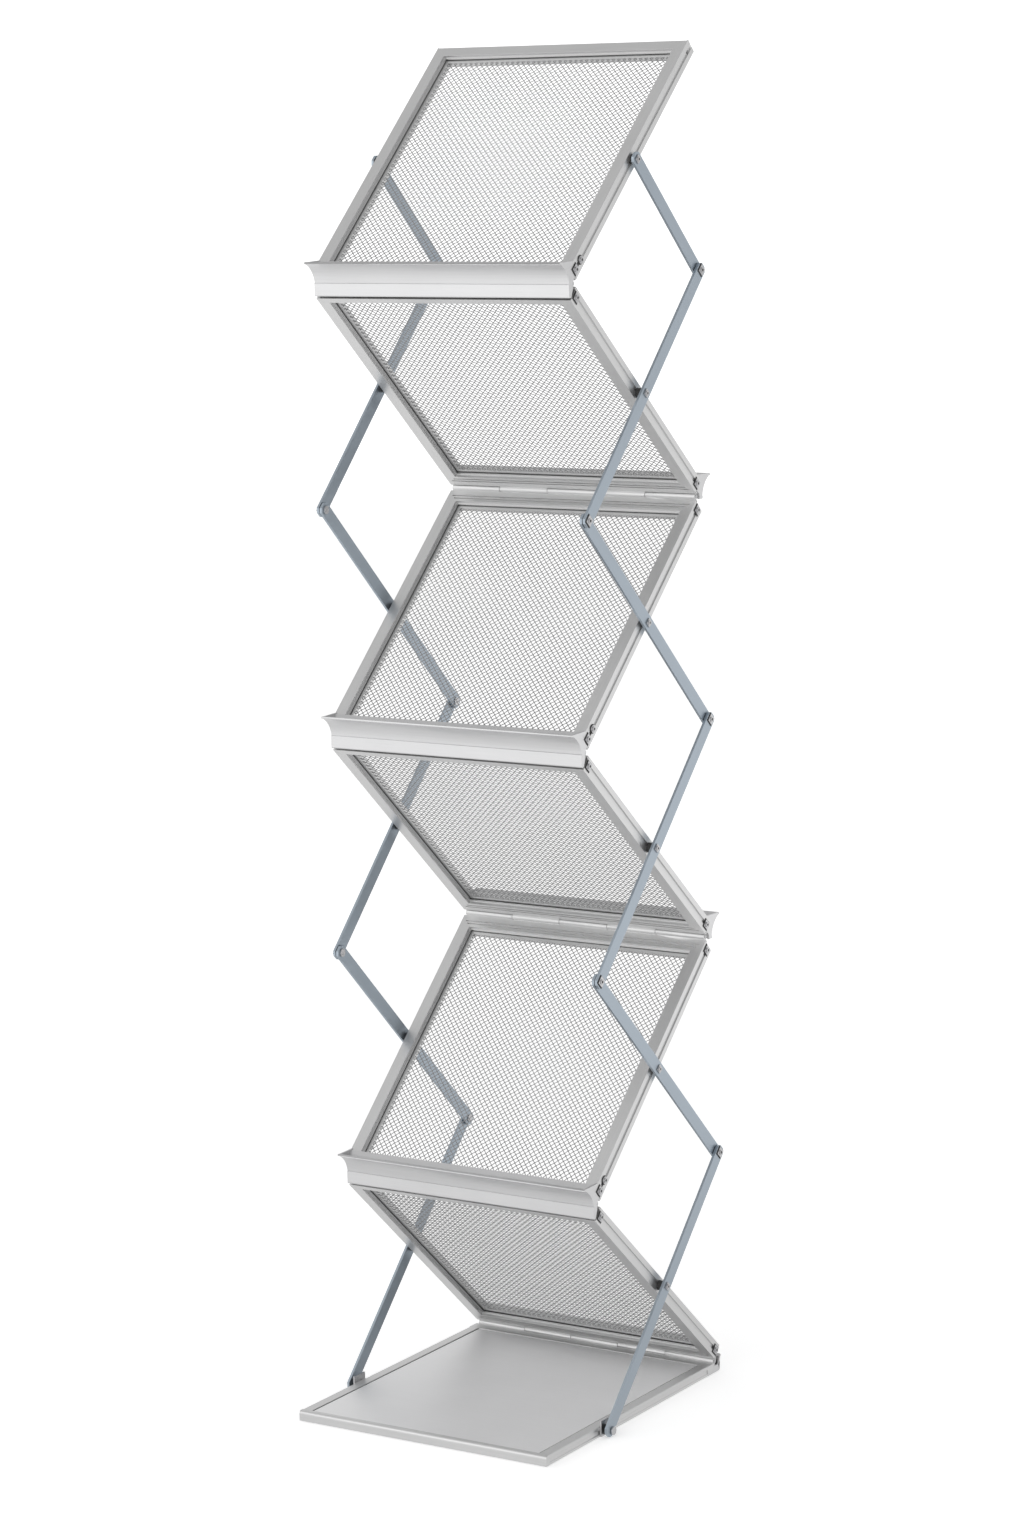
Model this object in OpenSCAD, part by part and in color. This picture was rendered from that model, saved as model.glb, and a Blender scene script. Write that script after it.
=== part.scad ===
// Folding zigzag newspaper rack: a flat base, six hinged mesh panels and two rows of
// side struts. Modelled standing open; X is across, -Y is the front, +Z is up.
// Origin at the bottom centre of the bounding box.

/* [Rack] */
// Width of the panels and of the base (mm)
rack_w = 280; // [230:1:340]
// Distance from hinge to hinge along one panel (mm)
panel_l = 300; // [270:1:330]
// Lean of the panels above the horizontal when the rack stands open (degrees)
open_angle = 42.3; // [40:0.1:45]

/* [Panel frame] */
// Thickness of a panel frame (mm)
frame_t = 15; // [14:0.5:16]
// Gap between two folded panels (mm)
fold_gap = 1; // [0.8:0.1:1.6]
// Face width of the frame bars (mm)
frame_face = 12; // [10:0.5:15]
// Width of the narrow rails beside the front hinges (mm)
front_rail = 6; // [5:0.5:8]
// Width of the inner lip that holds the mesh (mm)
lip_w = 4.5; // [3:0.5:6]
// Thickness of the inner lip (mm)
lip_t = 4; // [3:0.5:5]
// Depth of the groove in the outer side of the stiles (mm)
groove_d = 1.2; // [0.8:0.1:2]
// Thickness of the mesh sheet (mm)
mesh_t = 1; // [0.8:0.1:1.5]

/* [Hinges] */
// Radius of the hinge knuckles (mm)
knuckle_r = 3; // [2.8:0.1:3.2]
// Radius of the hinge pins (mm)
pin_r = 1.5; // [1.2:0.1:1.7]
// Knuckles along one hinge
knuckle_n = 5; // [3:2:9]

/* [Trays] */
// Sheet thickness of the trays (mm)
tray_t = 1.5; // [1.2:0.1:1.8]
// Reach of the tray lip in front of its hinge (mm)
tray_reach = 24.5; // [22:0.5:26]
// Height of the tray lip above its hinge (mm)
tray_rise = 19.5; // [18:0.5:20]
// Drop of the tray skirt below its hinge (mm)
tray_drop = 12.5; // [9:0.5:13]
// Drop of the rear tray skirts below their hinge (mm)
rear_drop = 3; // [2:0.5:4]
// Thickness of the tray end plates (mm)
cheek_t = 2; // [1.5:0.5:3]

/* [Struts] */
// Width of the side struts (mm)
strut_w = 13; // [12:0.5:14]
// Thickness of the side struts (mm)
strut_t = 2.5; // [2:0.1:2.6]
// Radius of the pivot bolts and rivets (mm)
pivot_r = 2.5; // [2:0.1:2.8]

/* [Base] */
// Distance from the front edge of the base to its hinge (mm)
base_reach = 314; // [308:1:345]
// Height of the base above its feet (mm)
base_h = 10; // [9.5:0.5:12]
// Height of the rubber feet (mm)
foot_h = 1; // [0.8:0.1:2]
// Width of the base side rails (mm)
side_rail_w = 11; // [9:0.5:14]
// Height of the curved rear strip above the hinge axis (mm)
strip_rise = 6; // [4:0.5:8]

/* [Hidden] */
$fn = 32;
pitch = frame_t + fold_gap;
half_w = rack_w / 2;
z_lo = fold_gap / 2;
z_hi = z_lo + frame_t;
end_gap = 5;
cp = cos(open_angle);
sp = sin(open_angle);
diag = sqrt(panel_l * panel_l + pitch * pitch);
beta = open_angle + atan(pitch / panel_l);
span = diag * cos(beta);
rise = diag * sin(beta);
base_top = foot_h + base_h;
z0 = base_top + fold_gap / 2;
y_c = (base_reach - span - tray_reach) / 2;
y_hinge = y_c + span / 2;
y_front = y_hinge - base_reach;
bar_in = frame_face + lip_w;
run_fit = 0.05;
x_even = half_w + 3;
x_odd = x_even + strut_t + 0.8;
x_cap = x_odd + strut_t;
peg_drop = 5.2;
sheet_silver = [0.74, 0.75, 0.75];
frame_silver = [0.71, 0.72, 0.72];
strut_blue = [0.62, 0.66, 0.70];
mesh_grey = [0.62, 0.63, 0.64];
steel = [0.78, 0.78, 0.78];
black = [0.07, 0.07, 0.07];

// ---- placing ----

function is_odd(k) = (k % 2) == 1;
// hinge line j: 0 at the base, then up the zigzag
function hinge_y(j) = y_c + (is_odd(j) ? -span / 2 : span / 2);
function hinge_z(j) = z0 + j * rise;
function top_a(k) = k == 6 ? panel_l : panel_l - end_gap;
// how far each rail reaches into its panel; the rail beside a front hinge is the narrow one
function low_w(k) = is_odd(k) ? bar_in : front_rail;
function high_w(k) = is_odd(k) ? front_rail : bar_in;
function face_pt(a, n) = [a * cp - n * sp, a * sp + n * cp];

// local panel frame: x across, y along the panel from its lower hinge, z through it
module on_panel(k)
  translate([0, hinge_y(k - 1), hinge_z(k - 1)])
    rotate([0, 0, is_odd(k) ? 180 : 0])
      rotate([open_angle, 0, 0])
        children();

// a 2-D shape in (y, z) drawn out along x between two positions
module along_x(x_from, x_to)
  translate([x_from, 0, 0])
    rotate([90, 0, 90])
      linear_extrude(x_to - x_from)
        children();

module disc_x(r, x_from, x_to, y = 0, z = 0)
  translate([x_from, y, z])
    rotate([0, 90, 0])
      cylinder(r = r, h = x_to - x_from);

module both_sides()
  for (s = [0, 1])
    mirror([s, 0, 0])
      children();

// ---- frame bars ----

// two fine grooves in a face at height n, cut to depth d; dir is the way w runs
function face_lines(n, d, dir) =
  let (w = dir > 0 ? [4.4, 5.7, 7.6, 8.9] : [8.9, 7.6, 5.7, 4.4])
  [[w[0], n], [w[0], n + d], [w[1], n + d], [w[1], n],
   [w[2], n], [w[2], n + d], [w[3], n + d], [w[3], n]];

// bar section: w from the outer edge inwards, n through the panel
function bar_section(grooved, lined = false) =
  let (mid = pitch / 2, h = lip_t / 2, b = 1.2, f = frame_face, g = groove_d)
  concat(
    [[0, z_lo]],
    lined ? face_lines(z_lo, 1.5, 1) : [],
    [[f, z_lo], [f, mid - h - 2.5], [f + b, mid - h - 2.5],
     [f + b, mid - h - 1], [f, mid - h - 1], [f, mid - h], [f + lip_w, mid - h],
     [f + lip_w, mid + h], [f, mid + h], [f, mid + h + 1], [f + b, mid + h + 1],
     [f + b, mid + h + 2.5], [f, mid + h + 2.5], [f, z_hi]],
    lined ? face_lines(z_hi, -1.5, -1) : [],
    [[0, z_hi]],
    grooved ? [[0, mid + h], [g, mid + h], [g, mid - h], [0, mid - h]] : []
  );

module stile(k) {
  a0 = end_gap;
  a1 = top_a(k);
  intersection() {
    translate([0, a1, 0])
      rotate([90, 0, 0])
        linear_extrude(a1 - a0)
          polygon([for (p = bar_section(true)) [half_w - p[0], p[1]]]);
    linear_extrude(pitch)
      polygon(is_odd(k)
        ? [[half_w, a0], [half_w, a1],
           [half_w - high_w(k), a1 - high_w(k)], [half_w - bar_in, a1 - high_w(k)],
           [half_w - bar_in, a0 + bar_in]]
        : [[half_w, a0], [half_w, a1],
           [half_w - bar_in, a1 - bar_in],
           [half_w - bar_in, a0 + low_w(k)], [half_w - low_w(k), a0 + low_w(k)]]);
  }
}

module rail_bar(a_edge, dir, w, lined = true) {
  section = w < bar_in
    ? [[0, z_lo], [w, z_lo], [w, z_hi], [0, z_hi]]
    : bar_section(false, lined);
  intersection() {
    along_x(-half_w, half_w)
      polygon([for (p = section) [a_edge + dir * p[0], p[1]]]);
    linear_extrude(pitch)
      polygon([
        [-half_w, a_edge], [half_w, a_edge],
        [half_w - w, a_edge + dir * w], [-half_w + w, a_edge + dir * w]
      ]);
  }
}

// ---- hinge knuckles: every second segment, around an axis at (y, z) ----

function seg_len() = (rack_w - 4) / knuckle_n;
function seg_x(i) = -half_w + 2 + i * seg_len();

module knuckles(first, y, z, leaf_y, leaf_z) {
  along_x(-half_w, half_w)
    polygon([
      [y + leaf_y * (knuckle_r + 0.4), z + leaf_z * z_lo],
      [y + leaf_y * (end_gap + 0.5), z + leaf_z * z_lo],
      [y + leaf_y * (end_gap + 0.5), z + leaf_z * knuckle_r],
      [y + leaf_y * (knuckle_r + 0.4), z + leaf_z * knuckle_r]
    ]);
  for (i = [first : 2 : knuckle_n - 1]) {
    disc_x(knuckle_r, seg_x(i) + 0.2, seg_x(i + 1) - 0.2, y, z);
    along_x(seg_x(i) + 0.2, seg_x(i + 1) - 0.2)
      polygon([
        [y, z + leaf_z * z_lo], [y + leaf_y * (end_gap + 0.5), z + leaf_z * z_lo],
        [y + leaf_y * (end_gap + 0.5), z + leaf_z * knuckle_r], [y, z + leaf_z * knuckle_r]
      ]);
  }
}

module pin_bore(y, z, fit)
  disc_x(pin_r + fit, -half_w - 1, half_w + 1, y, z);

// ---- panels ----

module panel_stiles(k) {
  color(frame_silver)
    on_panel(k)
      difference() {
        both_sides()
          stile(k);
        for (s = [-1, 1])
          translate([s * (half_w - 4), panel_l / 2, pitch / 2])
            rotate([0, 90, 0])
              cylinder(r = pivot_r, h = 10, center = true);
        if (k == 6)
          for (s = [-1, 1])
            translate([s * (half_w - 4), panel_l - 8, pitch / 2])
              rotate([0, 90, 0])
                cylinder(r = 2.2, h = 10, center = true);
      }
}

module panel_rails(k) {
  color(frame_silver)
    on_panel(k) {
      difference() {
        union() {
          rail_bar(end_gap, 1, low_w(k));
          knuckles(1, 0, 0, 1, 1);
        }
        pin_bore(0, 0, run_fit);
      }
      difference() {
        union() {
          rail_bar(top_a(k), -1, high_w(k), k < 6);
          if (k < 6)
            knuckles(0, panel_l, pitch, -1, -1);
        }
        pin_bore(panel_l, pitch, 0);
      }
    }
}

module panel_mesh(k) {
  a0 = end_gap + low_w(k);
  a1 = top_a(k) - high_w(k);
  color(mesh_grey)
    on_panel(k)
      translate([-half_w + bar_in, a0, pitch / 2 - mesh_t / 2])
        cube([rack_w - 2 * bar_in, a1 - a0, mesh_t]);
}

module side_screw(a) {
  translate([0, a, pitch / 2]) {
    disc_x(lip_t / 2 - 0.1, half_w - groove_d, half_w);
    translate([half_w, -3.8, -3.8])
      cube([1.1, 7.6, 7.6]);
    disc_x(2.6, half_w + 1.1, half_w + 2.2);
  }
}

module tray_screw(a) {
  translate([0, a, pitch / 2]) {
    disc_x(lip_t / 2 - 0.1, half_w - groove_d, half_w);
    disc_x(3.7, half_w, half_w + 1.4);
    disc_x(2.4, half_w + 1.4, half_w + 2.2);
  }
}

// pivot bolt with its spacer; the strut turns on the shank
module mid_pivot(x_strut) {
  translate([0, panel_l / 2, pitch / 2]) {
    disc_x(pivot_r, half_w - 9, x_strut + strut_t + 0.2);
    disc_x(4, half_w, x_strut - 0.2);
    translate([x_strut + strut_t + 0.2, -3.2, -3.2])
      cube([1, 6.4, 6.4]);
    disc_x(2.4, x_strut + strut_t + 1.2, x_strut + strut_t + 2);
  }
}

module panel_fixings(k) {
  color(steel)
    on_panel(k)
      both_sides() {
        side_screw(10);
        if (k < 6)
          side_screw(panel_l - 10);
        if (!is_odd(k))
          tray_screw(22);
        mid_pivot(is_odd(k) ? x_odd : x_even);
      }
}

// ---- trays, drawn in the open position relative to their hinge ----

function bez(p, q, r, t) = (1 - t) * (1 - t) * p + 2 * t * (1 - t) * q + t * t * r;
function bez_dir(p, q, r, t) = 2 * (1 - t) * (q - p) + 2 * t * (r - q);
lip_a = [-8.6, -0.5];
lip_b = [-10.6, 12.5];
lip_c = [-(tray_reach - 1.1), tray_rise - 0.8];
lip_steps = 8;
lip_out = [for (i = [0 : lip_steps]) bez(lip_a, lip_b, lip_c, i / lip_steps)];
lip_in = [
  for (i = [lip_steps : -1 : 0])
    let (t = i / lip_steps, d = bez_dir(lip_a, lip_b, lip_c, t))
    bez(lip_a, lip_b, lip_c, t) + tray_t * [d[1], -d[0]] / norm(d)
];
corner_in = face_pt(end_gap, z_hi);
tray_land = end_gap + front_rail - 0.5;
corner_out_y = corner_in[0] - tray_t;
corner_out = [corner_out_y, (z_hi + tray_t + corner_out_y * sp) / cp];

module tray_sheet_2d(drop) {
  polygon(concat(lip_out, lip_in));
  polygon([
    [-8.6 + tray_t, -drop], [-8.6 + tray_t, 0], corner_in,
    face_pt(tray_land, z_hi), face_pt(tray_land, z_hi + tray_t), corner_out,
    [-8.6, 0], [-9.4, -0.6], [-9.4, -drop + 1], [-8.9, -drop]
  ]);
  translate(lip_c + [0.2, 0.3])
    circle(r = 1.1, $fn = 16);
}

module tray_cheek_2d(drop)
  polygon(concat(lip_out, [
    [lip_c[0], tray_rise + 0.4],
    face_pt((tray_rise + 0.9 - z_hi * cp) / sp, z_hi),
    corner_in, face_pt(end_gap, knuckle_r + 0.4), [-2.2, 2.6], [-3.4, 0]
  ], drop > 6
    ? [[-2.6, -4.2], [-8.6 + tray_t + 1.4, -drop + 0.2]]
    : [[-3.3, -drop]],
  [[-8.6 + tray_t, -drop]]));

module panel_tray(k) {
  drop = is_odd(k) ? rear_drop : tray_drop;
  color(sheet_silver)
    translate([0, hinge_y(k - 1), hinge_z(k - 1)])
      rotate([0, 0, is_odd(k) ? 180 : 0]) {
        along_x(-half_w, half_w)
          tray_sheet_2d(drop);
        both_sides()
          along_x(half_w - cheek_t, half_w)
            tray_cheek_2d(drop);
      }
}

module hinge_pin(j) {
  color(steel)
    disc_x(pin_r, -half_w + 1.5, half_w - 1.5, hinge_y(j), hinge_z(j));
}

// ---- struts ----

foot_out = 5;
function strut_x(k) = is_odd(k) ? x_odd : x_even;
function strut_from(k) = k == 6 ? 0 : -diag / 2;

module on_strut(k)
  translate([0, y_c, z0 + (k - 0.5) * rise])
    rotate([is_odd(k) ? beta : -beta, 0, 0])
      children();

module strut_2d(k) {
  end_a = strut_from(k) - (k == 1 ? foot_out : 0);
  bore_a = pivot_r + (is_odd(k) ? 0 : run_fit);
  difference() {
    polygon([
      [end_a - 6.2, -strut_w / 2 + 3.4], [end_a - 3, -strut_w / 2],
      [diag / 2 + 3, -strut_w / 2], [diag / 2 + 6.2, -strut_w / 2 + 3.4],
      [diag / 2 + 6.2, strut_w / 2 - 3.4], [diag / 2 + 3, strut_w / 2],
      [end_a - 3, strut_w / 2], [end_a - 6.2, strut_w / 2 - 3.4]
    ]);
    circle(r = pivot_r + run_fit);
    translate([diag / 2, 0])
      circle(r = bore_a);
    if (k > 1 && k < 6)
      translate([-diag / 2, 0])
        circle(r = bore_a);
    if (k == 1)
      translate([-diag / 2, 0])
        rotate(-beta)
          translate([0, -peg_drop]) {
            circle(r = pivot_r + 0.4);
            translate([0, -pivot_r - 0.4])
              square([20, 2 * pivot_r + 0.8]);
          }
  }
}

module strut(k) {
  color(strut_blue)
    on_strut(k)
      along_x(strut_x(k), strut_x(k) + strut_t)
        strut_2d(k);
}

// rivets at the ends of an odd strut, holding the even struts next to it
module rivet(a) {
  translate([0, a, 0]) {
    disc_x(pivot_r, x_even - 0.8, x_cap);
    disc_x(4, x_even - 1.1, x_even - 0.2);
    disc_x(4, x_even + strut_t + 0.2, x_odd);
    translate([x_cap, -4, -4])
      cube([1.1, 8, 8]);
    disc_x(2.4, x_cap + 1.1, x_cap + 1.9);
  }
}

module rivets(k) {
  color(steel)
    on_strut(k) {
      rivet(diag / 2);
      if (k > 1)
        rivet(-diag / 2);
    }
}

// ---- base ----

module base_plate() {
  y0 = y_front + 6;
  y1 = y_hinge - end_gap - frame_face;
  color(sheet_silver)
    translate([-half_w + side_rail_w + 1.2, y0, base_top - 3.4])
      cube([rack_w - 2 * side_rail_w - 2.4, y1 - y0, 3]);
}

module base_side_rails() {
  y0 = y_front + 6;
  y1 = y_hinge - end_gap - frame_face;
  x_in = half_w - side_rail_w;
  color(frame_silver)
    both_sides()
      translate([0, y1, 0])
        rotate([90, 0, 0])
          linear_extrude(y1 - y0)
            polygon([
              [x_in, base_top], [half_w - 1, base_top], [half_w, base_top - 1],
              [half_w, base_top - 3.4], [half_w - 0.8, base_top - 3.8],
              [half_w - 0.8, foot_h + 2.8], [half_w, foot_h + 2.4], [half_w, foot_h],
              [x_in - 5, foot_h], [x_in - 5, base_top - 3.4],
              [x_in - 1.2, base_top - 3.4], [x_in - 1.2, base_top - 6.2],
              [x_in, base_top - 6.2]
            ]);
}

module base_end_rails() {
  y1 = y_hinge - end_gap;
  color(frame_silver) {
    along_x(-half_w, half_w)
      polygon(concat(
        [[y_front + 6, foot_h], [y_front + 6, base_top]],
        [for (i = [0 : 5])
          [y_front + 3 - 3 * sin(18 * i), base_top - 3 + 3 * cos(18 * i)]],
        [[y_front, foot_h]]
      ));
    difference() {
      union() {
        translate([-half_w, y1 - frame_face, foot_h + 2.5])
          cube([rack_w, frame_face, base_h - 2.5]);
        knuckles(0, y_hinge, z0, -1, -1);
      }
      pin_bore(y_hinge, z0, 0);
    }
  }
}

module base_rear_strip() {
  t = 2;
  y_s = y_hinge + 5;
  zt = z0 + strip_rise;
  zb = foot_h + 2.5;
  color(sheet_silver)
    along_x(-half_w, half_w)
      polygon(concat(
        [[y_hinge - end_gap - frame_face, foot_h], [y_s + 0.5, foot_h],
         [y_s + t, foot_h + 1.5], [y_s + t, zt - 8]],
        [for (i = [1 : 4]) [y_s + t + 5 * (1 - cos(15 * i)), zt - 8 + 7 * sin(15 * i)]],
        [[y_s + t + 1.0, zt]],
        [for (i = [3 : -1 : 0]) [y_s + 4 * (1 - cos(15 * i)), zt - 7 + 6 * sin(15 * i)]],
        [[y_s, zb], [y_hinge - end_gap - frame_face, zb]]
      ));
  color(sheet_silver)
    both_sides()
      along_x(half_w - 1.5, half_w)
        polygon([
          [y_hinge - end_gap, zb], [y_s, zb], [y_s, z0],
          [y_hinge + knuckle_r + 0.5, z0 - knuckle_r - 0.4],
          [y_hinge - end_gap, z0 - knuckle_r - 0.4]
        ]);
}

module base_feet() {
  color(black)
    for (sx = [-1, 1])
      for (y = [y_front + 16, y_hinge - 12])
        translate([sx * (half_w - 9), y, 0])
          cylinder(r = 6, h = foot_h);
}

module base_brackets() {
  y_f = y_c - span / 2;
  z_f = z0 - peg_drop;
  color(steel)
    both_sides() {
      translate([0, y_f + 9, 0])
        rotate([90, 0, 0])
          linear_extrude(18)
            polygon([
              [half_w, foot_h + 0.5], [half_w + 2.2, foot_h + 0.5],
              [half_w + 2.2, base_top + 6], [half_w + 0.6, base_top + 6],
              [half_w + 0.6, base_top - 0.5], [half_w, base_top - 1]
            ]);
      disc_x(4.2, half_w + 2.2, x_odd - 0.3, y_f, z_f);
      disc_x(pivot_r, x_odd - 0.3, x_cap + 0.4, y_f, z_f);
      disc_x(4, x_cap + 0.4, x_cap + 2, y_f, z_f);
    }
}

// ---- nodes ----

base_plate();
base_side_rails();
base_end_rails();
base_rear_strip();
base_feet();
base_brackets();
panel_stiles(1);  // panel_1_stiles
panel_rails(1);  // panel_1_rails
panel_mesh(1);  // panel_1_mesh
panel_fixings(1);  // panel_1_fixings
panel_stiles(2);  // panel_2_stiles
panel_rails(2);  // panel_2_rails
panel_mesh(2);  // panel_2_mesh
panel_fixings(2);  // panel_2_fixings
panel_tray(2);  // panel_2_tray
panel_stiles(3);  // panel_3_stiles
panel_rails(3);  // panel_3_rails
panel_mesh(3);  // panel_3_mesh
panel_fixings(3);  // panel_3_fixings
panel_tray(3);  // panel_3_tray
panel_stiles(4);  // panel_4_stiles
panel_rails(4);  // panel_4_rails
panel_mesh(4);  // panel_4_mesh
panel_fixings(4);  // panel_4_fixings
panel_tray(4);  // panel_4_tray
panel_stiles(5);  // panel_5_stiles
panel_rails(5);  // panel_5_rails
panel_mesh(5);  // panel_5_mesh
panel_fixings(5);  // panel_5_fixings
panel_tray(5);  // panel_5_tray
panel_stiles(6);  // panel_6_stiles
panel_rails(6);  // panel_6_rails
panel_mesh(6);  // panel_6_mesh
panel_fixings(6);  // panel_6_fixings
panel_tray(6);  // panel_6_tray
hinge_pin(0);  // hinge_pin_1
hinge_pin(1);  // hinge_pin_2
hinge_pin(2);  // hinge_pin_3
hinge_pin(3);  // hinge_pin_4
hinge_pin(4);  // hinge_pin_5
hinge_pin(5);  // hinge_pin_6
strut(1);  // strut_right_1
strut(2);  // strut_right_2
strut(3);  // strut_right_3
strut(4);  // strut_right_4
strut(5);  // strut_right_5
strut(6);  // strut_right_6
rivets(1);  // rivets_right_1
rivets(3);  // rivets_right_3
rivets(5);  // rivets_right_5
mirror([1, 0, 0]) strut(1);  // strut_left_1
mirror([1, 0, 0]) strut(2);  // strut_left_2
mirror([1, 0, 0]) strut(3);  // strut_left_3
mirror([1, 0, 0]) strut(4);  // strut_left_4
mirror([1, 0, 0]) strut(5);  // strut_left_5
mirror([1, 0, 0]) strut(6);  // strut_left_6
mirror([1, 0, 0]) rivets(1);  // rivets_left_1
mirror([1, 0, 0]) rivets(3);  // rivets_left_3
mirror([1, 0, 0]) rivets(5);  // rivets_left_5
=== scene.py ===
"""Looks of a folding zigzag newspaper rack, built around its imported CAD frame."""

import math

import bpy
from mathutils import Matrix, Vector


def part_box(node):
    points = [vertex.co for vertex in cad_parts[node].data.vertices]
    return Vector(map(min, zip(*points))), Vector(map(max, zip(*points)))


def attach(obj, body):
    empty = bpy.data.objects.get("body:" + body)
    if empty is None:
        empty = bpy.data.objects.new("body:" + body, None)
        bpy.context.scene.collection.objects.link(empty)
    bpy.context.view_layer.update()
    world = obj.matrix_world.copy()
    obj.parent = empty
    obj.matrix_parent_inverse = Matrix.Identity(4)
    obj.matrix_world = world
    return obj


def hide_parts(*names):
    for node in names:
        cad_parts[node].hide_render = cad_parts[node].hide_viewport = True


MM = 0.001
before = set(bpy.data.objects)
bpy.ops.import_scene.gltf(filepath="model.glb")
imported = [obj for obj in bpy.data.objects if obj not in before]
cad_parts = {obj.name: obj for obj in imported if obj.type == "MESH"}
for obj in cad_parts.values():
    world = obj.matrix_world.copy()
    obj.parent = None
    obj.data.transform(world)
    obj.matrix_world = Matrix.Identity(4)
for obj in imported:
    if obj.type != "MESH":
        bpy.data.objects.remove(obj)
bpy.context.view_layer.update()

# ---- the rack's own sizes, in millimetres ----

RACK_W = 280.0
PANEL_L = 300.0
LEAN = math.radians(42.3)
PITCH = 16.0
END_GAP = 5.0
BAR_IN = 16.5
FRONT_RAIL = 6.0
BASE_REACH = 314.0
TRAY_REACH = 24.5
HINGE_Z = 11.5
DIAG = math.hypot(PANEL_L, PITCH)
BETA = LEAN + math.atan(PITCH / PANEL_L)
SPAN = DIAG * math.cos(BETA)
RISE = DIAG * math.sin(BETA)
MID_Y = (BASE_REACH - SPAN - TRAY_REACH) / 2
PANELS = range(1, 7)


def odd(k):
    return k % 2 == 1


def hinge(j):
    """(y, z) of hinge line j in millimetres, 0 at the base."""
    return MID_Y + (-SPAN / 2 if odd(j) else SPAN / 2), HINGE_Z + j * RISE


def panel_matrix(k):
    """From a panel's own frame (x across, y up the panel, z through it) to the row frame."""
    y, z = hinge(k - 1)
    turn = Matrix.Rotation(math.pi if odd(k) else 0.0, 4, "Z")
    return Matrix.Translation((0, y * MM, z * MM)) @ turn @ Matrix.Rotation(LEAN, 4, "X")


# ---- materials ----

GRAIN_FINE, GRAIN_LONG = 2600.0, 18.0
GRAIN_DETAIL = 3.0
CLOUD_SCALE, CLOUD_DETAIL = 14.0, 4.0
GRAIN_SHARE, CLOUD_SHARE = 0.6, 0.4
TONE_LOW, TONE_HIGH = 0.3, 0.7
ROUGH_SPREAD = 0.07
RELIEF_DEPTH = 0.0002
RUBBER_SPECKLE = 900.0
RUBBER_ROUGH = 0.55


def brushed(name, colour, rough=0.36, tilt=0.0, along="X", streak=0.05, bump=0.12, metal=0.9):
    """Anodised aluminium: fine streaks along the drawing direction and a slow cloudiness.

    tilt turns the streaks about X, for bars that lean with a panel.
    """
    mat = bpy.data.materials.new(name)
    mat.use_nodes = True
    nodes, links = mat.node_tree.nodes, mat.node_tree.links
    shader = nodes["Principled BSDF"]
    shader.inputs["Metallic"].default_value = metal
    coords = nodes.new("ShaderNodeTexCoord")
    turn = nodes.new("ShaderNodeMapping")
    turn.inputs["Rotation"].default_value = (-tilt, 0, 0)
    links.new(coords.outputs["Object"], turn.inputs["Vector"])
    stretch = nodes.new("ShaderNodeMapping")
    stretch.inputs["Scale"].default_value = (
        (GRAIN_LONG, GRAIN_FINE, GRAIN_FINE) if along == "X"
        else (GRAIN_FINE, GRAIN_LONG, GRAIN_FINE)
    )
    links.new(turn.outputs["Vector"], stretch.inputs["Vector"])
    grain = nodes.new("ShaderNodeTexNoise")
    grain.inputs["Scale"].default_value = 1.0
    grain.inputs["Detail"].default_value = GRAIN_DETAIL
    links.new(stretch.outputs["Vector"], grain.inputs["Vector"])
    cloud = nodes.new("ShaderNodeTexNoise")
    cloud.inputs["Scale"].default_value = CLOUD_SCALE
    cloud.inputs["Detail"].default_value = CLOUD_DETAIL
    links.new(coords.outputs["Object"], cloud.inputs["Vector"])
    mix = nodes.new("ShaderNodeMath")
    mix.operation = "MULTIPLY_ADD"
    mix.inputs[1].default_value = GRAIN_SHARE
    links.new(grain.outputs["Fac"], mix.inputs[0])
    share = nodes.new("ShaderNodeMath")
    share.operation = "MULTIPLY"
    share.inputs[1].default_value = CLOUD_SHARE
    links.new(cloud.outputs["Fac"], share.inputs[0])
    links.new(share.outputs["Value"], mix.inputs[2])
    ramp = nodes.new("ShaderNodeValToRGB")
    ramp.color_ramp.elements[0].position = TONE_LOW
    ramp.color_ramp.elements[1].position = TONE_HIGH
    for element, gain in zip(ramp.color_ramp.elements, (1 - streak, 1 + streak)):
        element.color = (*[min(1, c * gain) for c in colour], 1)
    links.new(mix.outputs["Value"], ramp.inputs["Fac"])
    links.new(ramp.outputs["Color"], shader.inputs["Base Color"])
    shine = nodes.new("ShaderNodeMapRange")
    shine.inputs["To Min"].default_value = rough - ROUGH_SPREAD
    shine.inputs["To Max"].default_value = rough + ROUGH_SPREAD
    links.new(mix.outputs["Value"], shine.inputs["Value"])
    links.new(shine.outputs["Result"], shader.inputs["Roughness"])
    relief = nodes.new("ShaderNodeBump")
    relief.inputs["Strength"].default_value = bump
    relief.inputs["Distance"].default_value = RELIEF_DEPTH
    links.new(grain.outputs["Fac"], relief.inputs["Height"])
    links.new(relief.outputs["Normal"], shader.inputs["Normal"])
    return mat


def rubber(name, shade):
    mat = bpy.data.materials.new(name)
    mat.use_nodes = True
    nodes, links = mat.node_tree.nodes, mat.node_tree.links
    shader = nodes["Principled BSDF"]
    noise = nodes.new("ShaderNodeTexNoise")
    noise.inputs["Scale"].default_value = RUBBER_SPECKLE
    coords = nodes.new("ShaderNodeTexCoord")
    links.new(coords.outputs["Object"], noise.inputs["Vector"])
    ramp = nodes.new("ShaderNodeValToRGB")
    ramp.color_ramp.elements[0].color = (shade * 0.7,) * 3 + (1,)
    ramp.color_ramp.elements[1].color = (shade * 1.4,) * 3 + (1,)
    links.new(noise.outputs["Fac"], ramp.inputs["Fac"])
    links.new(ramp.outputs["Color"], shader.inputs["Base Color"])
    shader.inputs["Roughness"].default_value = RUBBER_ROUGH
    return mat


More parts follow.
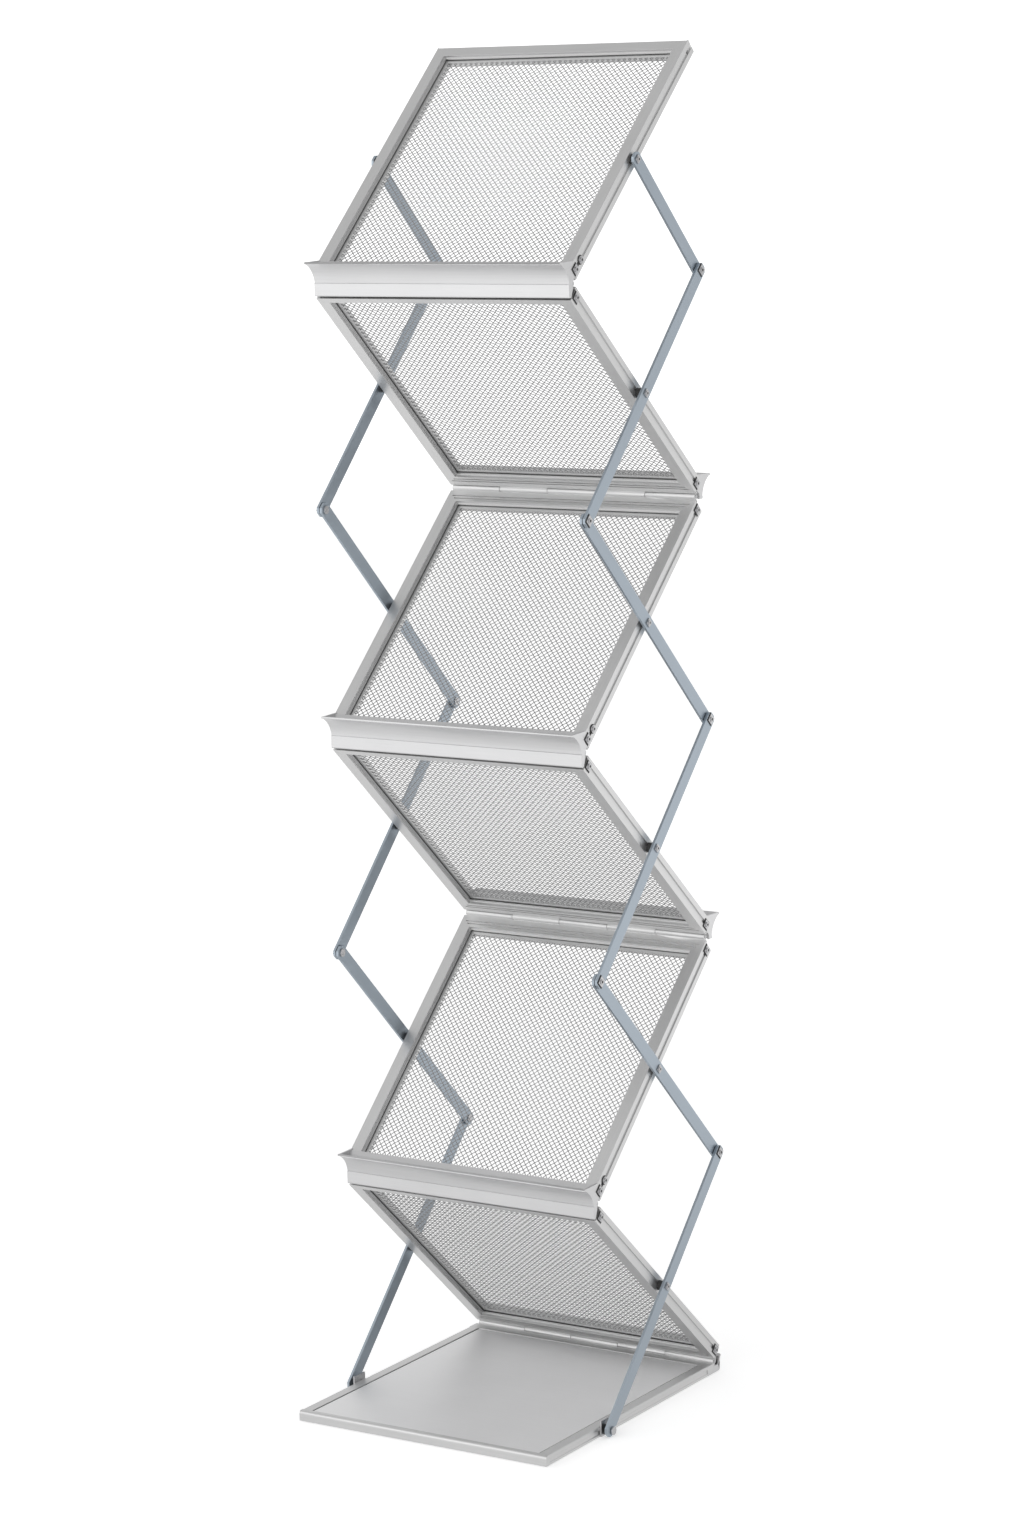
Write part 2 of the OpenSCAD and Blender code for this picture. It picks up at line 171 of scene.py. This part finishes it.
FRAME_TONE = (0.69, 0.69, 0.69)
TRAY_TONE = (0.67, 0.67, 0.675)
PLATE_TONE = (0.92, 0.92, 0.925)
STRUT_TONE = (0.40, 0.455, 0.51)
MESH_TONE = (0.34, 0.34, 0.345)
STEEL_TONE = (0.55, 0.55, 0.56)

rail_metal = brushed("rail_aluminium", FRAME_TONE, rough=0.38)
stile_up = brushed("stile_aluminium_even", FRAME_TONE, rough=0.38, tilt=LEAN, along="Y")
stile_down = brushed("stile_aluminium_odd", FRAME_TONE, rough=0.38, tilt=-LEAN, along="Y")
tray_metal = brushed("tray_aluminium", TRAY_TONE, rough=0.33)
plate_metal = brushed("plate_aluminium", PLATE_TONE, rough=0.46, streak=0.03, metal=0.8)
base_rail = brushed("base_rail_aluminium", FRAME_TONE, rough=0.36, along="Y")
strut_up = brushed("strut_aluminium_odd", STRUT_TONE, rough=0.4, tilt=BETA, along="Y")
strut_down = brushed("strut_aluminium_even", STRUT_TONE, rough=0.4, tilt=-BETA, along="Y")
wire_metal = brushed("wire_aluminium", MESH_TONE, rough=0.4, streak=0.08, metal=0.85)
steel = brushed("plated_steel", STEEL_TONE, rough=0.28, streak=0.04, metal=1.0)
# one black for the real rubber feet and for the pieces that paint shade into gaps, grooves and
# sockets
rubber_and_painted_shade_black = rubber("rubber_and_painted_shade_black", 0.03)


def paint(node, mat):
    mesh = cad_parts[node].data
    mesh.materials.clear()
    mesh.materials.append(mat)


WELD_GAP = 0.00001
SHARP = math.radians(35)
STILE_EDGE, RAIL_EDGE, TRAY_EDGE = 0.45, 0.3, 0.4


def soften(node, width):
    """Rounds a CAD node's edges a little, as extruded and rolled metal has them."""
    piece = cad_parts[node]
    weld = piece.modifiers.new("weld", "WELD")
    weld.merge_threshold = WELD_GAP
    bevel = piece.modifiers.new("bevel", "BEVEL")
    bevel.width = width * MM
    bevel.segments = 2
    bevel.limit_method = "ANGLE"
    bevel.angle_limit = SHARP
    bevel.harden_normals = True


for k in PANELS:
    paint(f"panel_{k}_stiles", stile_down if odd(k) else stile_up)
    paint(f"panel_{k}_rails", rail_metal)
    paint(f"panel_{k}_fixings", steel)
    paint(f"hinge_pin_{k}", steel)
    if k > 1:
        paint(f"panel_{k}_tray", tray_metal)
    for side in ("left", "right"):
        paint(f"strut_{side}_{k}", strut_up if odd(k) else strut_down)
        if odd(k):
            paint(f"rivets_{side}_{k}", steel)
for k in PANELS:
    soften(f"panel_{k}_stiles", STILE_EDGE)
    soften(f"panel_{k}_rails", RAIL_EDGE)
    if k > 1:
        soften(f"panel_{k}_tray", TRAY_EDGE)
for node, width in (("base_plate", 0.3), ("base_side_rails", 0.4), ("base_end_rails", 0.4),
                    ("base_rear_strip", 0.4), ("base_brackets", 0.3)):
    soften(node, width)
paint("base_plate", plate_metal)
paint("base_side_rails", base_rail)
paint("base_end_rails", rail_metal)
paint("base_rear_strip", tray_metal)
paint("base_feet", rubber_and_painted_shade_black)
paint("base_brackets", steel)

# ---- woven wire in the panels ----

WIRE_PITCH = 4.2
WIRE_R = 0.39
CRIMP = 0.36
WIRE_SIDES = 6
SHORT_END = 0.3
ON_CROSSING = 0.02


def woven_mesh(name, a_low, a_high, half_x):
    """Diagonal woven wire, in a panel's own frame, on the rectangle it fills."""
    verts, faces = [], []
    root2 = math.sqrt(2)

    def add(points, side):
        """A tube through the points; side is the in-plane direction square to the wire."""
        start = len(verts)
        for x, a, z in points:
            for q in range(WIRE_SIDES):
                turn = 2 * math.pi * q / WIRE_SIDES
                w = WIRE_R * math.cos(turn)
                verts.append(
                    ((x + side[0] * w) * MM, (a + side[1] * w) * MM,
                     (z + WIRE_R * math.sin(turn)) * MM)
                )
        for p in range(len(points) - 1):
            for q in range(WIRE_SIDES):
                r = (q + 1) % WIRE_SIDES
                b = start + p * WIRE_SIDES
                faces.append((b + q, b + r, b + WIRE_SIDES + r, b + WIRE_SIDES + q))
        faces.append(tuple(start + q for q in reversed(range(WIRE_SIDES))))
        last = start + (len(points) - 1) * WIRE_SIDES
        faces.append(tuple(last + q for q in range(WIRE_SIDES)))

    # a wire keeps s = (x + a)/root2 (family 0) or t = (x - a)/root2 (family 1) fixed
    reach = int((half_x + a_high) * root2 / WIRE_PITCH) + 2
    for family in (0, 1):
        for i in range(-reach, reach + 1):
            c = i * WIRE_PITCH
            if family == 0:
                lo = max(-root2 * half_x - c, c - root2 * a_high)
                hi = min(root2 * half_x - c, c - root2 * a_low)
            else:
                lo = max(-root2 * half_x - c, root2 * a_low + c)
                hi = min(root2 * half_x - c, root2 * a_high + c)
            if hi - lo < WIRE_PITCH:
                continue
            first, last = math.ceil(lo / WIRE_PITCH), math.floor(hi / WIRE_PITCH)
            stops = [lo] + [j * WIRE_PITCH for j in range(first, last + 1)] + [hi]
            if stops[1] - stops[0] < SHORT_END:
                stops.pop(0)
            if stops[-1] - stops[-2] < SHORT_END:
                stops.pop()
            points = []
            for v in stops:
                j = round(v / WIRE_PITCH)
                near = abs(v / WIRE_PITCH - j) < ON_CROSSING
                z = CRIMP * (1 if (i + j) % 2 else -1) * (1 if family == 0 else -1)
                if not near:
                    z = 0.0
                s, t = (c, v) if family == 0 else (v, c)
                points.append(((s + t) / root2, (s - t) / root2, z + PITCH / 2))
            side = (1 / root2, 1 / root2) if family == 0 else (1 / root2, -1 / root2)
            add(points, side)
    mesh = bpy.data.meshes.new(name)
    mesh.from_pydata(verts, [], faces)
    mesh.polygons.foreach_set("use_smooth", [True] * len(mesh.polygons))
    mesh.update()
    return mesh


TUCK = 0.8
half_window = RACK_W / 2 - BAR_IN + TUCK


def low_edge(k):
    """Where a panel's window starts; the rail beside a front hinge is the narrow one."""
    return END_GAP + (BAR_IN if odd(k) else FRONT_RAIL)


def high_edge(k):
    top = PANEL_L if k == 6 else PANEL_L - END_GAP
    return top - (FRONT_RAIL if odd(k) else BAR_IN)


windows = {}
for k in (1, 2, 6):
    windows[k] = woven_mesh(f"woven_wire_{k}", low_edge(k) - TUCK, high_edge(k) + TUCK, half_window)
    windows[k].materials.append(wire_metal)
for k in PANELS:
    kind = 1 if odd(k) else 6 if k == 6 else 2
    wires = bpy.data.objects.new(f"woven_wire_{k}", windows[kind])
    bpy.context.scene.collection.objects.link(wires)
    wires.matrix_world = panel_matrix(k)
    bpy.context.view_layer.update()
    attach(wires, f"panel_{k}")
    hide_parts(f"panel_{k}_mesh")

# ---- painted shade: black rings in the gaps under the screws and at the pivots, black discs in the sockets of the heads ----

STILE_SIDE = RACK_W / 2
STRUT_T = 2.5
EVEN_X = STILE_SIDE + 3.0
ODD_X = EVEN_X + STRUT_T + 0.8
CAP_X = ODD_X + STRUT_T
ROUND = 24
BEVEL = 0.08
SHADE_RING_T = 0.4
SCREW_AT, TRAY_SCREW_AT = 10, 22
SCREW_HALF, SCREW_PROUD = 3.8, 2.2
SOCKET_R, SOCKET_T = 1.3, 0.1
PIVOT_SOCKET_R = 1.2


def ring(parts, x0, x1, y, z, inner, outer, corners=ROUND):
    """A washer standing on x; corners=4 gives a square one, inner=0 a plain disc."""
    verts, faces = parts
    start = len(verts)
    lead = math.pi / 4 if corners == 4 else 0.0
    grow = math.sqrt(2) if corners == 4 else 1.0
    loops = [(x0, outer), (x1 - BEVEL, outer), (x1, outer - BEVEL)]
    if inner:
        loops += [(x1, inner), (x0, inner)]
    for x, r in loops:
        for q in range(corners):
            turn = lead + 2 * math.pi * q / corners
            verts.append((x * MM, (y + grow * r * math.cos(turn)) * MM,
                          (z + grow * r * math.sin(turn)) * MM))
    for p in range(len(loops) if inner else len(loops) - 1):
        a, b = start + p * corners, start + (p + 1) % len(loops) * corners
        for q in range(corners):
            r = (q + 1) % corners
            faces.append((a + q, a + r, b + r, b + q))
    if not inner:
        faces.append(tuple(start + q for q in reversed(range(corners))))
        top = start + (len(loops) - 1) * corners
        faces.append(tuple(top + q for q in range(corners)))


# builds a black mesh that paints shade into a gap, groove or socket; both mirrors it to the other
# side
def painted_shade_piece(name, parts, place, body, both=True):
    verts, faces = parts
    if both:
        n = len(verts)
        verts = verts + [(-x, y, z) for x, y, z in verts]
        faces = faces + [tuple(n + v for v in reversed(f)) for f in faces]
    mesh = bpy.data.meshes.new(name)
    mesh.from_pydata(verts, [], faces)
    mesh.materials.append(rubber_and_painted_shade_black)
    mesh.update()
    piece = bpy.data.objects.new(name, mesh)
    bpy.context.scene.collection.objects.link(piece)
    piece.matrix_world = place
    bpy.context.view_layer.update()
    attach(piece, body)


def socket(parts, a):
    """Painted shade: a black disc for the dark socket in the head of a side or tray screw."""
    x = STILE_SIDE + SCREW_PROUD
    ring(parts, x, x + SOCKET_T, a, PITCH / 2, 0, SOCKET_R)


def screw_shade(parts, a):
    """Painted shade of the gap under a square side screw at a, measured up the panel, and of its
    socket: a black square ring and a black disc.
    """
    inner, outer = SCREW_HALF + 0.05, SCREW_HALF + 0.85
    ring(parts, STILE_SIDE, STILE_SIDE + SHADE_RING_T, a, PITCH / 2, inner, outer, 4)
    socket(parts, a)


# painted shade for each panel: black rings in the gaps under the screws and between stile and
# strut, black discs in the screw and pivot sockets
for k in PANELS:
    parts = ([], [])
    screw_shade(parts, SCREW_AT)
    if k < 6:
        screw_shade(parts, PANEL_L - SCREW_AT)
    if not odd(k):
        ring(parts, STILE_SIDE, STILE_SIDE + SHADE_RING_T, TRAY_SCREW_AT, PITCH / 2, 3.75, 4.5)
        socket(parts, TRAY_SCREW_AT)
    strut_in = ODD_X if odd(k) else EVEN_X
    ring(parts, STILE_SIDE, strut_in - 0.4, PANEL_L / 2, PITCH / 2, 4.05, 4.8)
    head = strut_in + STRUT_T + 0.2
    ring(parts, head + 1.79, head + 1.82, PANEL_L / 2, PITCH / 2, 0, PIVOT_SOCKET_R)
    painted_shade_piece(f"panel_{k}_screw_and_pivot_shade", parts, panel_matrix(k), f"panel_{k}")


def strut_matrix(k):
    turn = Matrix.Rotation(BETA if odd(k) else -BETA, 4, "X")
    return Matrix.Translation((0, MID_Y * MM, (HINGE_Z + (k - 0.5) * RISE) * MM)) @ turn


# painted shade on the strut rivets: black rings in the gap between the crossing struts and under
# the rivet caps, a black disc in each rivet head's socket
for k in (1, 3, 5):
    for side, flip in (("right", 1), ("left", -1)):
        parts = ([], [])
        for end in (-1, 1):
            if k == 1 and end < 0:
                continue
            ring(parts, EVEN_X + STRUT_T + 0.25, ODD_X, end * DIAG / 2, 0, 4.02, 4.8)
            ring(parts, CAP_X, CAP_X + 0.5, end * DIAG / 2, 0, 4.02, 4.75, 4)
            ring(parts, CAP_X + 1.9, CAP_X + 2.0, end * DIAG / 2, 0, 0, 1.4)
        if flip < 0:
            parts = ([(-x, y, z) for x, y, z in parts[0]], [tuple(reversed(f)) for f in parts[1]])
        painted_shade_piece(
            f"rivet_painted_shade_{side}_{k}", parts, strut_matrix(k), f"strut_{side}_{k}", both=False
        )

FACE = 12.0
GROOVE_SHADE_AT = 2.08
GROOVE_SHADE_T = 0.85
GROOVE_SHADE_W = 1.1


def strip(parts, low, high):
    """A plain bar between two corners, in millimetres, as part of a longer run."""
    verts, faces = parts
    start = len(verts)
    for x in (low[0], high[0]):
        for y in (low[1], high[1]):
            for z in (low[2], high[2]):
                verts.append((x * MM, y * MM, z * MM))
    for f in ((0, 1, 3, 2), (4, 6, 7, 5), (0, 4, 5, 1), (2, 3, 7, 6), (0, 2, 6, 4), (1, 5, 7, 3)):
        faces.append(tuple(start + v for v in f))


def groove_shade_strips(k):
    """Black strips between the lip and the bar, on both faces of the mesh: painted shade of the
    deep groove there.
    """
    parts = ([], [])
    back = BAR_IN - FACE - 0.05
    a_low = low_edge(k) - back if odd(k) else low_edge(k) + 0.05
    a_high = high_edge(k) - 0.05 if odd(k) else high_edge(k) + back
    x_out = RACK_W / 2 - FACE - 0.05
    for z in (PITCH / 2 + GROOVE_SHADE_AT, PITCH / 2 - GROOVE_SHADE_AT - GROOVE_SHADE_T):
        z1 = z + GROOVE_SHADE_T
        if odd(k):
            strip(parts, (-x_out, a_low, z), (x_out, a_low + GROOVE_SHADE_W, z1))
        else:
            strip(parts, (-x_out, a_high - GROOVE_SHADE_W, z), (x_out, a_high, z1))
        strip(parts, (-x_out, a_low, z), (-x_out + GROOVE_SHADE_W, a_high, z1))
        strip(parts, (x_out - GROOVE_SHADE_W, a_low, z), (x_out, a_high, z1))
    painted_shade_piece(f"panel_{k}_gasket", parts, panel_matrix(k), f"panel_{k}", both=False)


for k in PANELS:
    groove_shade_strips(k)

# painted shade: a black strip down each gap between the base plate and the side rails
parts = ([], [])
plate_low, plate_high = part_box("base_plate")
gap_in = plate_high.x / MM
strip(parts, (gap_in + 0.05, plate_low.y / MM + 0.2, 5.0),
      (gap_in + 1.15, plate_high.y / MM - 0.2, 10.2))
painted_shade_piece("base_gap_painted_shade", parts, Matrix.Identity(4), "base")

# painted shade: black rings in the gap between the base's pegs and the lowest struts
parts = ([], [])
peg_y, peg_z = MID_Y - SPAN / 2, HINGE_Z - 5.2
ring(parts, STILE_SIDE + 2.3, ODD_X - 0.4, peg_y, peg_z, 4.25, 4.9)
painted_shade_piece("peg_painted_shade_ring", parts, Matrix.Identity(4), "base")

# ---- floor, light and camera ----


def plain(name, tone, rough):
    mat = bpy.data.materials.new(name)
    mat.use_nodes = True
    shader = mat.node_tree.nodes["Principled BSDF"]
    shader.inputs["Base Color"].default_value = (tone, tone, tone, 1)
    shader.inputs["Roughness"].default_value = rough
    shader.inputs["Specular IOR Level"].default_value = 0.1
    return mat


FLOOR_SEEN, FLOOR_GLOW = 0.9, 0.42
FLOOR_MIRRORED = (0.4, 1.6, 0.77, 1.1)  # range of distance, then the glow over it
bpy.ops.mesh.primitive_plane_add(size=14, location=(0, 0, 0))
floor = bpy.context.object
floor.name = "floor"
floor_mat = plain("pale_floor", FLOOR_SEEN, 0.9)
fn, fl = floor_mat.node_tree.nodes, floor_mat.node_tree.links
mirrored = fn.new("ShaderNodeEmission")
spot = fn.new("ShaderNodeTexCoord")
away = fn.new("ShaderNodeVectorMath")
away.operation = "LENGTH"
fl.new(spot.outputs["Object"], away.inputs[0])
brighten = fn.new("ShaderNodeMapRange")
for socket, value in zip(("From Min", "From Max", "To Min", "To Max"), FLOOR_MIRRORED):
    brighten.inputs[socket].default_value = value
fl.new(away.outputs["Value"], brighten.inputs["Value"])
fl.new(brighten.outputs["Result"], mirrored.inputs["Strength"])
floor_path = fn.new("ShaderNodeLightPath")
floor_mix = fn.new("ShaderNodeMixShader")
fl.new(floor_path.outputs["Is Camera Ray"], floor_mix.inputs["Fac"])
fl.new(mirrored.outputs["Emission"], floor_mix.inputs[1])
fl.new(fn["Principled BSDF"].outputs["BSDF"], floor_mix.inputs[2])
fl.new(floor_mix.outputs["Shader"], fn["Material Output"].inputs["Surface"])
fn["Principled BSDF"].inputs["Emission Color"].default_value = (1, 1, 1, 1)
fn["Principled BSDF"].inputs["Emission Strength"].default_value = FLOOR_GLOW
floor.data.materials.append(floor_mat)

scene = bpy.context.scene
scene.view_settings.view_transform = "Standard"
SKY_BACK, SKY_TOP, SKY_FRONT, SKY_GAIN = 0.62, 0.64, 1.05, 1.25
OVERHEAD = (0.5, 0.85, 1.0, 0.66)  # height range of the direction, then the gain over it
world = bpy.data.worlds.new("studio")
scene.world = world
world.use_nodes = True
wn, wl = world.node_tree.nodes, world.node_tree.links
background = wn["Background"]
sky = wn.new("ShaderNodeTexCoord")
facing = wn.new("ShaderNodeVectorMath")
facing.operation = "DOT_PRODUCT"
facing.inputs[1].default_value = (-0.5, -0.866, 0.0)
wl.new(sky.outputs["Generated"], facing.inputs[0])
height = wn.new("ShaderNodeMapRange")
height.inputs["From Min"].default_value = -1
height.inputs["From Max"].default_value = 1
wl.new(facing.outputs["Value"], height.inputs["Value"])
sky_ramp = wn.new("ShaderNodeValToRGB")
wl.new(height.outputs["Result"], sky_ramp.inputs["Fac"])
ramp = sky_ramp.color_ramp
ramp.elements[0].color = (SKY_BACK,) * 3 + (1,)
ramp.elements[1].color = (SKY_FRONT,) * 3 + (1,)
for place, tone in ((0.70, SKY_TOP), (0.84, SKY_FRONT)):
    ramp.elements.new(place).color = (tone, tone, tone, 1)
seen = wn.new("ShaderNodeLightPath")
pick = wn.new("ShaderNodeMix")
pick.data_type = "RGBA"
wl.new(seen.outputs["Is Camera Ray"], pick.inputs["Factor"])
# the sky is dimmer overhead, where the front faces of the even panels look
split = wn.new("ShaderNodeSeparateXYZ")
wl.new(sky.outputs["Generated"], split.inputs["Vector"])
overhead = wn.new("ShaderNodeMapRange")
for socket, value in zip(("From Min", "From Max", "To Min", "To Max"), OVERHEAD):
    overhead.inputs[socket].default_value = value
wl.new(split.outputs["Z"], overhead.inputs["Value"])
dim = wn.new("ShaderNodeVectorMath")
dim.operation = "SCALE"
wl.new(sky_ramp.outputs["Color"], dim.inputs["Vector"])
wl.new(overhead.outputs["Result"], dim.inputs["Scale"])
wl.new(dim.outputs["Vector"], pick.inputs["A"])
pick.inputs["B"].default_value = (1, 1, 1, 1)
wl.new(pick.outputs["Result"], background.inputs["Color"])
background.inputs["Strength"].default_value = SKY_GAIN


def soft_light(name, place, aim, size, power):
    lamp = bpy.data.lights.new(name, "AREA")
    lamp.shape = "RECTANGLE"
    lamp.size, lamp.size_y = size
    lamp.energy = power
    holder = bpy.data.objects.new(name, lamp)
    scene.collection.objects.link(holder)
    holder.location = place
    holder.rotation_euler = (Vector(aim) - Vector(place)).to_track_quat("-Z", "Y").to_euler()


KEY_SPOT, KEY_AIM = (-5.0, -8.0, 6.5), (0, 0, 0.6)
KEY_SIZE, KEY_POWER = (5.0, 5.0), 20
soft_light("key", KEY_SPOT, KEY_AIM, KEY_SIZE, KEY_POWER)

CAMERA_SPOT = Vector((2096.8, -3241.6 + MID_Y, HINGE_Z + 1267.7)) * MM
YAW, PITCH_DOWN, ROLL = (math.radians(v) for v in (33.03, 9.80, -1.69))
LENS_OVER_HEIGHT = 2.6658
ahead = Vector((
    -math.sin(YAW) * math.cos(PITCH_DOWN),
    math.cos(YAW) * math.cos(PITCH_DOWN),
    -math.sin(PITCH_DOWN),
))
across = Vector((math.cos(YAW), math.sin(YAW), 0))
upward = across.cross(ahead)
cam_x = across * math.cos(ROLL) + upward * math.sin(ROLL)
cam_y = upward * math.cos(ROLL) - across * math.sin(ROLL)
camera = bpy.data.objects.new("camera", bpy.data.cameras.new("camera"))
scene.collection.objects.link(camera)
camera.matrix_world = Matrix((
    (cam_x.x, cam_y.x, -ahead.x, CAMERA_SPOT.x),
    (cam_x.y, cam_y.y, -ahead.y, CAMERA_SPOT.y),
    (cam_x.z, cam_y.z, -ahead.z, CAMERA_SPOT.z),
    (0, 0, 0, 1),
))
camera.data.sensor_fit = "VERTICAL"
camera.data.sensor_height = 36
camera.data.lens = 36 * LENS_OVER_HEIGHT
camera.data.clip_end = 60
scene.camera = camera
